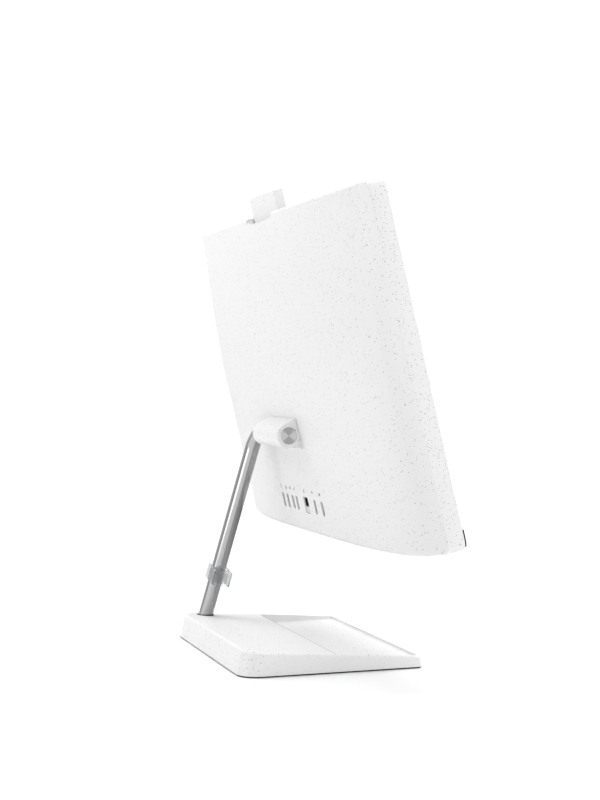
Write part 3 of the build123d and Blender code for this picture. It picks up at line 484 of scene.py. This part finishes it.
def case_rows(inset):
    """Heights of the rows up the case's back."""
    end = HALF_H - RING
    return np.linspace(-(end - inset), end - inset, ROWS)


def corner_path(inset, steps=9):
    """Way round one corner of the outline, from where the columns end to where the rows end."""
    r = OUTLINE_R - inset
    run = RING - OUTLINE_R
    points = [(-run, -r)]
    points += [(r * math.sin(a), -r * math.cos(a)) for a in np.linspace(0, math.pi / 2, steps)]
    points.append((r, run))
    return points


def around(xs, vs, inset):
    """Outline samples (x, v), each with the grid corner or edge point it leads in to."""
    right, top, r = HALF_W - inset, HALF_H - inset, OUTLINE_R - inset
    samples = []
    path = corner_path(inset)
    for turn in range(4):
        side = {0: [(x, -top, x, vs[0]) for x in xs[1:-1]],
                1: [(right, v, xs[-1], v) for v in vs[1:-1]],
                2: [(x, top, x, vs[-1]) for x in xs[-2:0:-1]],
                3: [(-right, v, xs[0], v) for v in vs[-2:0:-1]]}[turn]
        samples += side
        c, s = ((1, 0), (0, 1), (-1, 0), (0, -1))[turn]
        centre = ((right - r, -top + r), (right - r, top - r),
                  (-right + r, top - r), (-right + r, -top + r))[turn]
        grid = ((xs[-1], vs[0]), (xs[-1], vs[-1]), (xs[0], vs[-1]), (xs[0], vs[0]))[turn]
        for px, pv in path:
            samples.append((centre[0] + c * px - s * pv, centre[1] + s * px + c * pv, *grid))
    return samples


def inward(x, v, inset):
    """Direction in from the outline at (x, v)."""
    step = 0.01
    gx = edge_distance(x + step, v, inset) - edge_distance(x - step, v, inset)
    gv = edge_distance(x, v + step, inset) - edge_distance(x, v - step, inset)
    size = math.hypot(gx, gv)
    return gx / size, gv / size


def case_skin(inset, front_levels):
    """Loops from the front rim over the side wall and back surface, then the grid behind them.
    front_levels are (way in from the outline, depth) of the loops before the side wall."""
    xs, vs = case_columns(inset), case_rows(inset)
    samples = around(xs, vs, inset)
    points, loops = [], 0
    for way_in, t in front_levels:
        for x, v, gx, gv in samples:
            nx, nv = inward(x, v, inset)
            points.append(at(x + nx * way_in, t, v + nv * way_in))
        loops += 1
    for level in RING_LEVELS:
        for x, v, gx, gv in samples:
            share = level / RING
            px, pv = x + (gx - x) * share, v + (gv - v) * share
            points.append(at(px, float(depth(px, pv, inset)), pv))
        loops += 1
    size = len(samples)
    faces = loops_to_faces(loops, size)
    grid_start = len(points)
    columns, rows = len(xs), len(vs)
    for v in vs:
        depths = depth(xs, np.full(columns, v), inset)
        points += [at(x, float(t), v) for x, t in zip(xs, depths)]

    def grid(i, j):
        return grid_start + j * columns + i

    for j in range(rows - 1):
        for i in range(columns - 1):
            faces.append((grid(i, j), grid(i + 1, j), grid(i + 1, j + 1), grid(i, j + 1)))
    edge_of = []
    corner_count = len(corner_path(inset))
    for turn in range(4):
        edge_of += {0: [grid(i, 0) for i in range(1, columns - 1)],
                    1: [grid(columns - 1, j) for j in range(1, rows - 1)],
                    2: [grid(i, rows - 1) for i in range(columns - 2, 0, -1)],
                    3: [grid(0, j) for j in range(rows - 2, 0, -1)]}[turn]
        corner = (grid(columns - 1, 0), grid(columns - 1, rows - 1), grid(0, rows - 1), grid(0, 0))[turn]
        edge_of += [corner] * corner_count
    last = (loops - 1) * size
    for i in range(size):
        j = (i + 1) % size
        ring = (last + i, last + j)
        if edge_of[i] == edge_of[j]:
            faces.append((*ring, edge_of[i]))
        else:
            faces.append((*ring, edge_of[j], edge_of[i]))
    return points, faces, size


SLOT_V = -128.8
SLOT_XS = [66.0, 50.4, 33.3, 20.2, -36.5, -58.0]
SLOT_SHAPE = (3.3, 7.5, 2.2)            # half width, half height, corner radius
ETHERNET_X = -9.7
ETHERNET_SHAPE = (7.0, 8.7, 1.8)
BACK_CUT_T = (44.0, 56.0)               # depths where cuts through the back start and end
CAM_HALF_W = 41.0
CAM_FRONT_T = 12.7
CAM_BACK_T = 22.2
CAM_GAP = 0.4
CAM_CORNER_R = 0.6
RECESS_BACK_GAP = 0.3
RECESS_FLOOR_V = HALF_H - 5.9
RECESS_HALF_W = CAM_HALF_W + 1.5
RECESS_R = 5.5
RECESS_CUT_ABOVE = 8.0
EDGE_CUT = 5.0                          # reach of top and bottom cuts, in and out
VENT_GROUPS = [-150, -60, 60, 150]
VENT_COUNT = 11
VENT_PITCH = 7.0
VENT_SHAPE = (1.5, 7.0, 1.45)
VENT_T = 29.0
TOP_VENT_SHAPE = (1.2, 4.5, 1.15)
TOP_VENT_T = 16.5
BUTTON_HOLE = (7.3, 2.8, 2.7)
BUTTON_T = 12.6


def case_cutters():
    """Two sets of prisms: the camera's recess, and the sockets, vents, camera slot and button hole."""
    def through_back(outline, x, v, low, high):
        return prism(outline, lambda a, b, t: at(x + a, t, v + b), low, high)

    def through_edge(outline, x, t, edge_v):
        return prism(outline, lambda a, b, v: at(x + a, t + b, v), edge_v - EDGE_CUT, edge_v + EDGE_CUT)

    def vent_row(shape, centre, t, edge_v):
        outline = rounded_outline(*shape)
        places = [centre + VENT_PITCH * (i - (VENT_COUNT - 1) / 2) for i in range(VENT_COUNT)]
        return [through_edge(outline, x, t, edge_v) for x in places]

    cuts = [through_back(rounded_outline(*SLOT_SHAPE), x, SLOT_V, *BACK_CUT_T) for x in SLOT_XS]
    cuts.append(through_back(rounded_outline(*ETHERNET_SHAPE), ETHERNET_X, SLOT_V, *BACK_CUT_T))
    top = HALF_H + RECESS_CUT_ABOVE
    recess = rounded_outline(RECESS_HALF_W, (top - RECESS_FLOOR_V) / 2, RECESS_R)
    middle = (top + RECESS_FLOOR_V) / 2
    hollow = [through_back(recess, 0, middle, CAM_BACK_T + RECESS_BACK_GAP, BACK_CUT_T[1])]
    mouth = rounded_outline(CAM_HALF_W + CAM_GAP, (CAM_BACK_T - CAM_FRONT_T) / 2 + CAM_GAP, CAM_CORNER_R)
    cuts.append(through_edge(mouth, 0, (CAM_BACK_T + CAM_FRONT_T) / 2, HALF_H))
    for centre in VENT_GROUPS:
        cuts += vent_row(VENT_SHAPE, centre, VENT_T, -HALF_H)
    for centre in (VENT_GROUPS[0], VENT_GROUPS[-1]):
        cuts += vent_row(TOP_VENT_SHAPE, centre, TOP_VENT_T, HALF_H)
    low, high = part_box("power_button")
    button_x = (low.x + high.x) / 2 / MM
    cuts.append(through_edge(rounded_outline(*BUTTON_HOLE), button_x, BUTTON_T, -HALF_H))
    return hollow, cuts


def cut_out(piece, cutter):
    """Takes the cutter's shape out of the piece and removes the cutter."""
    tool = piece.modifiers.new("cut", "BOOLEAN")
    tool.operation = "DIFFERENCE"
    tool.solver = "EXACT"
    tool.object = cutter
    graph = bpy.context.evaluated_depsgraph_get()
    mesh = bpy.data.meshes.new_from_object(piece.evaluated_get(graph))
    piece.modifiers.clear()
    piece.data = mesh
    bpy.data.objects.remove(cutter)
    return finished(piece)


def build_case():
    """The rear cover: outer and inner skins joined at the front rim, with its openings cut."""
    outer, outer_faces, size = case_skin(0.0, [(WALL, 0.0), (LIP_R, 0.0), (LIP_R * 0.3, LIP_R * 0.3),
                                               (0.0, LIP_R), (0.0, SIDE_DEPTH * 0.5)])
    inner, inner_faces, size = case_skin(WALL, [(0.0, 0.0), (0.0, SIDE_DEPTH * 0.5)])
    base = len(outer)
    faces = outer_faces + [tuple(base + i for i in face) for face in inner_faces]
    rim = loops_to_faces(2, size)
    faces += [tuple(i if i < size else base + i - size for i in face) for face in rim]
    case = mesh_object("case_shell", outer + inner, faces)
    for shapes in case_cutters():
        case = cut_out(case, joined("case_cutter", shapes))
    finish_with(case, "case_white", "display", "rear_cover")


RECESS_WALL = 1.4
RECESS_FLAT = 30.0              # half width of the flat part of its floor
RECESS_ARC_STEPS = 8
RECESS_TOP_V = HALF_H - 0.6
RECESS_CLEAR = 0.05             # floor's back edge, under the case's surface


def build_recess():
    """Floor and round-cornered ends of the finger recess behind the camera."""
    end = [(-RECESS_HALF_W, RECESS_TOP_V)]
    for k in range(RECESS_ARC_STEPS + 1):
        a = math.pi / 2 * k / RECESS_ARC_STEPS
        x = -RECESS_HALF_W + RECESS_R * (1 - math.cos(a))
        end.append((x, RECESS_FLOOR_V + RECESS_R * (1 - math.sin(a))))
    flat = [(x, RECESS_FLOOR_V) for x in np.linspace(-RECESS_FLAT, RECESS_FLAT, 13)]
    path = end + flat + [(-x, v) for x, v in reversed(end)]
    points = []
    for grow in (0.0, RECESS_WALL):
        for x, v in path:
            px = x + grow * (np.sign(x) if abs(x) > RECESS_FLAT else 0)
            pv = v - (grow if v < RECESS_TOP_V else 0)
            points.append((px, pv, CAM_BACK_T + RECESS_BACK_GAP, float(depth(px, pv)) - RECESS_CLEAR))
    count = len(path)
    far = 2 * count
    verts = [at(x, t0, v) for x, v, t0, t1 in points] + [at(x, t1, v) for x, v, t0, t1 in points]
    faces = []
    for i in range(count - 1):
        j = i + 1
        faces += [(i, j, far + j, far + i), (count + i, far + count + i, far + count + j, count + j),
                  (i, count + i, count + j, j), (far + i, far + j, far + count + j, far + count + i)]
    for i in (0, count - 1):
        faces.append((i, far + i, far + count + i, count + i))
    finish_with(mesh_object("recess_floor", verts, faces), "case_white", "display")


# ---- Stand tube and its cap --------------------------------------------------------------------
TUBE_R = 7.5 * MM
TUBE_BORE_R = 5.7 * MM
BEND_R = 24.0 * MM
FOOT = Vector((110, 61, 22)) * MM
APEX = Vector((72 * MM, HINGE.y, HINGE.z))
TUBE_END = Vector((-36 * MM, HINGE.y, HINGE.z))
SUNK = 15.0 * MM
TUBE_SIDES = 72
RISE_STEPS = 12
BEND_STEPS = 32
RUN_STEPS = 6
CAP_SIDES = 96


def tube_path():
    """Places and directions along the bent tube's centre line."""
    rise = (APEX - FOOT).normalized()
    run = (TUBE_END - APEX).normalized()
    start = FOOT - rise * SUNK
    turn = rise.angle(run)
    reach = BEND_R * math.tan(turn / 2)
    bend_start = APEX - rise * reach
    inward_way = (run - rise * run.dot(rise)).normalized()
    centre = bend_start + inward_way * BEND_R
    path = [(start.lerp(bend_start, k / RISE_STEPS), rise) for k in range(RISE_STEPS)]
    for k in range(BEND_STEPS + 1):
        a = turn * k / BEND_STEPS
        place = centre - inward_way * BEND_R * math.cos(a) + rise * BEND_R * math.sin(a)
        path.append((place, rise * math.cos(a) + inward_way * math.sin(a)))
    bend_end = APEX + run * reach
    return path + [(bend_end.lerp(TUBE_END, k / RUN_STEPS), run) for k in range(1, RUN_STEPS + 1)]


def build_tube():
    """Bent tube with its bore, swept along its path."""
    path = tube_path()
    across = path[0][1].cross(path[-1][1]).normalized()
    points = []
    for radius, way in ((TUBE_R, 1), (TUBE_BORE_R, -1)):
        for place, direction in path[::way]:
            side = direction.cross(across)
            for i in range(TUBE_SIDES):
                a = 2 * math.pi * i / TUBE_SIDES
                points.append(place + (across * math.cos(a) + side * math.sin(a)) * radius)
    loops = 2 * len(path)
    faces = loops_to_faces(loops, TUBE_SIDES)
    last = (loops - 1) * TUBE_SIDES
    for i in range(TUBE_SIDES):
        j = (i + 1) % TUBE_SIDES
        faces.append((last + i, last + j, j, i))
    finish_with(mesh_object("bent_tube", points, faces), "tube_metal", "stand", "stand_tube")


def build_cap():
    """Turned cap: dished face inside a bevelled rim, and the plug that holds it in the tube."""
    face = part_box("axle_cap")[0].x / MM
    # Profile points: way back from the outer face, radius.
    dish = [(0.25, 1.2), (0.22, 7.1), (0.02, 7.5)]
    rim = [(0.0, 7.7), (0.12, 8.05), (0.4, 8.2), (2.3, 8.2)]
    plug = [(2.3, 5.65), (10.5, 5.65), (11.0, 5.2)]
    turns = [2 * math.pi * i / CAP_SIDES for i in range(CAP_SIDES)]
    points = [Vector(((face + back) * MM, HINGE.y + r * MM * math.cos(a), HINGE.z + r * MM * math.sin(a)))
              for back, r in dish + rim + plug for a in turns]
    faces = loops_to_faces(len(dish + rim + plug), CAP_SIDES, 0, True)
    finish_with(mesh_object("turned_cap", points, faces, 24.0), "cap_metal", "stand", "axle_cap")


# ---- Small details ------------------------------------------------------------------------------
MARK_V = -114.3
MARK_LEVELS = (-0.3, 0.03)      # into the case and proud of it
CHIN_BOTTOM_V = -HALF_H + 3.0
CHIN_TOP_V = -HALF_H + 18.2
CHIN_PROUD = 1.3
CHIN_BEVEL = 0.3
CHIN_INSET = 0.6                # bar's end, in from the case's outline
CHIN_LAP = 12.0
CHIN_BACK_T = -0.02
CHIN_HEIGHTS = 12
BASE_REAR_TOP = (83.75, 23.9)
BASE_FRONT_TOP = (-87.5, 11.4)
# Painted shadow line on the deck where the tray begins: its ends across, its edges front to back, its levels into
# the deck and proud of it.
SHADOW_LINE_X = (-125.0, 122.0)
SHADOW_LINE_Y = (-2.35, -1.98)
SHADOW_LINE_LEVELS = (-0.2, 0.03)


def turned(outline, degrees, shift_a=0.0, shift_b=0.0):
    """Outline turned about 0 and then moved."""
    a = math.radians(degrees)
    return [(x * math.cos(a) - y * math.sin(a) + shift_a, x * math.sin(a) + y * math.cos(a) + shift_b)
            for x, y in outline]


def mark_shapes():
    """Outlines of the mark above each socket, by the socket's place across."""
    upright = rounded_outline(0.7, 2.1, 0.5)
    triangle = [(0, 2.0), (-2.0, -0.8), (2.0, -0.8)]
    underline = turned(rounded_outline(2.0, 0.35, 0.3), 0, 0, -1.7)
    square = rounded_outline(1.5, 1.5, 0.4)
    slanted = turned(rounded_outline(2.4, 0.6, 0.5), -35)
    level = rounded_outline(2.2, 0.5, 0.4)
    bump = turned(rounded_outline(0.8, 0.7, 0.4), 0, 0, 1.1)
    dot = rounded_outline(1.5, 1.5, 1.4)
    tail = turned(rounded_outline(1.1, 0.4, 0.3), -30, 2.1, -1.2)
    return {66.4: [upright], 49.1: [triangle, underline], 35.5: [square], 21.9: [slanted],
            -9.5: [upright], -35.5: [level, bump], -57.6: [dot, tail]}


def build_marks():
    """Small generic marks printed above the sockets."""
    shapes = []
    for x, outlines in mark_shapes().items():
        for outline in outlines:
            def on_case(a, b, proud, x=x):
                return at(x + a, float(depth(x + a, MARK_V + b)) + proud, MARK_V + b)
            shapes.append(prism(outline, on_case, *MARK_LEVELS))
    finish_with(joined("socket_marks", shapes), "black_plastic", "display")


def chin_loop(side, inset, t):
    """Loop round one end of the chin bar, following the case's rounded corner."""
    heights = np.linspace(CHIN_BOTTOM_V + inset, CHIN_TOP_V - inset, CHIN_HEIGHTS)
    ends = []
    for v in heights:
        drop = max(OUTLINE_R - (v + HALF_H), 0)
        corner = OUTLINE_R - math.sqrt(OUTLINE_R ** 2 - drop ** 2)
        ends.append((side * (HALF_W - CHIN_INSET - inset - corner), v))
    inner = side * (HALF_W - CHIN_LAP)
    return [at(x, t, v) for x, v in ends + [(inner, heights[-1]), (inner, heights[0])]]


def build_chin_ends():
    """Ends of the chin bar, which lap over the rim of the case."""
    shapes = []
    for side in (-1, 1):
        loops = [chin_loop(side, CHIN_BEVEL, -CHIN_PROUD),
                 chin_loop(side, 0.0, CHIN_BEVEL - CHIN_PROUD),
                 chin_loop(side, 0.0, CHIN_BACK_T)]
        points = [point for loop in loops for point in loop]
        shapes.append((points, loops_to_faces(len(loops), len(loops[0]), 0, True)))
    finish_with(joined("chin_ends", shapes, 25.0), "black_gloss", "display")


def build_painted_shadow_line():
    """Painted shadow: a fine dark grey strip laid on the deck where the tray begins, in place of the shade at that
    fold.
    """
    (rear_y, rear_z), (front_y, front_z) = BASE_REAR_TOP, BASE_FRONT_TOP
    slope = (rear_z - front_z) / (rear_y - front_y)

    def on_deck(x, y, proud):
        return Vector((x, y, front_z + slope * (y - front_y) + proud)) * MM

    # Dark grey strip laid on the deck as painted shadow.
    strip = [(SHADOW_LINE_X[0], SHADOW_LINE_Y[0]), (SHADOW_LINE_X[1], SHADOW_LINE_Y[0]), (SHADOW_LINE_X[1], SHADOW_LINE_Y[1]), (SHADOW_LINE_X[0], SHADOW_LINE_Y[1])]
    finish_with(joined("painted_shadow_line", [prism(strip, on_deck, *SHADOW_LINE_LEVELS)]), "panel_back", "stand")


build_case()
build_recess()
build_tube()
build_cap()
build_marks()
build_chin_ends()
build_painted_shadow_line()

# ---- Camera view, light and floor --------------------------------------------------------------
VIEW_FROM = Vector((-1.4618, 0.4684, 0.2761))
VIEW_YAW = -0.315
VIEW_PITCH = -0.017
LENS = 69.37
SENSOR = 36.0
SKY = 0.52
# Soft suns: strength, spread in degrees, direction they come from.
SUNS = {"sun_far_side": (1.40, 70, (0.9, 0.0, 1)),
        "sun_front": (0.50, 70, (0.0, -0.9, 1)),
        "sun_near_side": (0.78, 60, (-0.8, -0.6, 0.5)),
        "sun_above": (1.35, 30, (0.0, 0.0, 1))}
# Key panel.
KEY_FROM = (0.40, 0.72, 0.95)
KEY_AT = (0.10, 0, 0.36)
KEY_SIZE = (0.5, 0.5)
KEY_POWER = 3.05
# Upright cards, seen in glossy reflections: centre, size, tone.
CARDS = {"front_card": ((-2.0, 0.65, 0.7), (1.5, 1.4), 1.0),
         "strip_card": ((-0.30, 1.28, 0.4), (0.82, 1.0), 2.8),
         "edge_card": ((0.70, 0.80, 0.4), (0.5, 1.2), 0.75),
         "grazing_card": ((1.2, 0.35, 0.4), (0.8, 1.2), 0.8),
         "far_card": ((1.0, -0.80, 0.35), (2.2, 1.1), 0.10)}
# Level cards from the middle of the base forward, darker the farther they lie.
LOW_Z = 0.0265
LOW_X = (-1.3, 0.9)
LOW_EDGES = [0.045, -0.06, -0.11, -0.18, -0.26, -1.2]
LOW_TONES = [0.66, 0.52, 0.46, 0.34, 0.22]
DOME_R = 22.0
DOME_RINGS = 12
DOME_SIDES = 48
DOME_SINK = 0.05                # lowest ring, in radians below level
DOME_TONE = 1.05
FLOOR_HALF = 30.0
FLOOR_WHITE = (0.82, 0.82, 0.82)


def view_camera():
    """Camera at the photo's place, direction and lens."""
    data = bpy.data.cameras.new("view")
    data.lens = LENS
    data.sensor_width = SENSOR
    camera = bpy.data.objects.new("view", data)
    bpy.context.scene.collection.objects.link(camera)
    way = Vector((math.cos(VIEW_PITCH) * math.cos(VIEW_YAW), math.cos(VIEW_PITCH) * math.sin(VIEW_YAW),
                  math.sin(VIEW_PITCH)))
    camera.location = VIEW_FROM
    camera.rotation_euler = way.to_track_quat("-Z", "Y").to_euler()
    bpy.context.scene.camera = camera


def area_light(name, place, target, size, power):
    """Soft panel light, left out of glossy reflections."""
    data = bpy.data.lights.new(name, "AREA")
    data.shape = "RECTANGLE"
    data.size, data.size_y = size
    data.energy = power
    lamp = bpy.data.objects.new(name, data)
    bpy.context.scene.collection.objects.link(lamp)
    lamp.location = place
    lamp.rotation_euler = (Vector(target) - Vector(place)).to_track_quat("-Z", "Y").to_euler()
    lamp.visible_glossy = False


def soft_sun(name, strength, spread_degrees, from_where):
    """Sun with a wide spread, left out of glossy reflections."""
    data = bpy.data.lights.new(name, "SUN")
    data.energy = strength
    data.angle = math.radians(spread_degrees)
    lamp = bpy.data.objects.new(name, data)
    bpy.context.scene.collection.objects.link(lamp)
    lamp.rotation_euler = (-Vector(from_where)).to_track_quat("-Z", "Y").to_euler()
    lamp.visible_glossy = False


def glow_material(name, strength):
    """Even white glow of a studio sheet."""
    material = bpy.data.materials.new(name)
    material.use_nodes = True
    nodes = material.node_tree.nodes
    nodes.clear()
    glow = node(nodes, "ShaderNodeEmission", in_Color=(1, 1, 1, 1), in_Strength=strength)
    output = node(nodes, "ShaderNodeOutputMaterial")
    material.node_tree.links.new(glow.outputs["Emission"], output.inputs["Surface"])
    return material


def stage_sheet(name, points, faces, strength, seen_by_camera):
    """Glowing sheet: seen by the camera and through clear parts, or in glossy reflections alone."""
    mesh = bpy.data.meshes.new(name)
    mesh.from_pydata([tuple(point) for point in points], [], faces)
    mesh.materials.append(glow_material(name, strength))
    sheet = bpy.data.objects.new(name, mesh)
    bpy.context.scene.collection.objects.link(sheet)
    sheet.visible_camera = seen_by_camera
    sheet.visible_glossy = not seen_by_camera
    sheet.visible_shadow = False
    sheet.visible_transmission = seen_by_camera
    sheet.visible_diffuse = False


def card(name, centre, size, tone):
    """Upright card that faces the stand, seen in glossy reflections alone."""
    middle = Vector(centre)
    across = Vector((-middle.y, middle.x, 0)).normalized() * size[0] / 2
    up = Vector((0, 0, 1)) * size[1] / 2
    corners = [middle - across - up, middle + across - up, middle + across + up, middle - across + up]
    stage_sheet(name, corners, [(0, 1, 2, 3)], tone, False)


def backdrop():
    """White dome round the stage, seen by the camera and through clear parts."""
    points = []
    for k in range(DOME_RINGS):
        lift = math.pi / 2 * k / DOME_RINGS - DOME_SINK
        for i in range(DOME_SIDES):
            a = 2 * math.pi * i / DOME_SIDES
            points.append((DOME_R * math.cos(lift) * math.cos(a), DOME_R * math.cos(lift) * math.sin(a),
                           DOME_R * math.sin(lift)))
    faces = loops_to_faces(DOME_RINGS, DOME_SIDES)
    faces.append(tuple((DOME_RINGS - 1) * DOME_SIDES + i for i in range(DOME_SIDES)))
    stage_sheet("backdrop", points, faces, DOME_TONE, True)


def low_cards():
    """Level cards just above the deck's highest edge, seen in glossy reflections alone."""
    left, right = LOW_X
    for k, tone in enumerate(LOW_TONES):
        back, front = LOW_EDGES[k], LOW_EDGES[k + 1]
        corners = [(left, front, LOW_Z), (right, front, LOW_Z), (right, back, LOW_Z), (left, back, LOW_Z)]
        stage_sheet(f"low_card_{k}", corners, [(0, 1, 2, 3)], tone, False)


def studio():
    world = bpy.data.worlds.new("studio")
    world.use_nodes = True
    sky = world.node_tree.nodes["Background"]
    sky.inputs["Color"].default_value = (1, 1, 1, 1)
    sky.inputs["Strength"].default_value = SKY
    bpy.context.scene.world = world
    bpy.context.scene.view_settings.view_transform = "Standard"
    backdrop()
    for name, (strength, spread, from_where) in SUNS.items():
        soft_sun(name, strength, spread, from_where)
    area_light("key", KEY_FROM, KEY_AT, KEY_SIZE, KEY_POWER)
    for name, (centre, size, tone) in CARDS.items():
        card(name, centre, size, tone)
    low_cards()


def floor():
    places = (-FLOOR_HALF, FLOOR_HALF)
    mesh = bpy.data.meshes.new("floor")
    mesh.from_pydata([(x, y, 0) for y in places for x in places], [], [(0, 1, 3, 2)])
    ground = bpy.data.objects.new("floor", mesh)
    bpy.context.scene.collection.objects.link(ground)
    paint = plain_plastic("pale_floor", FLOOR_WHITE, 0.9, 60.0, strength=0.01, shade=0.015)
    ground.data.materials.append(paint)


view_camera()
studio()
floor()
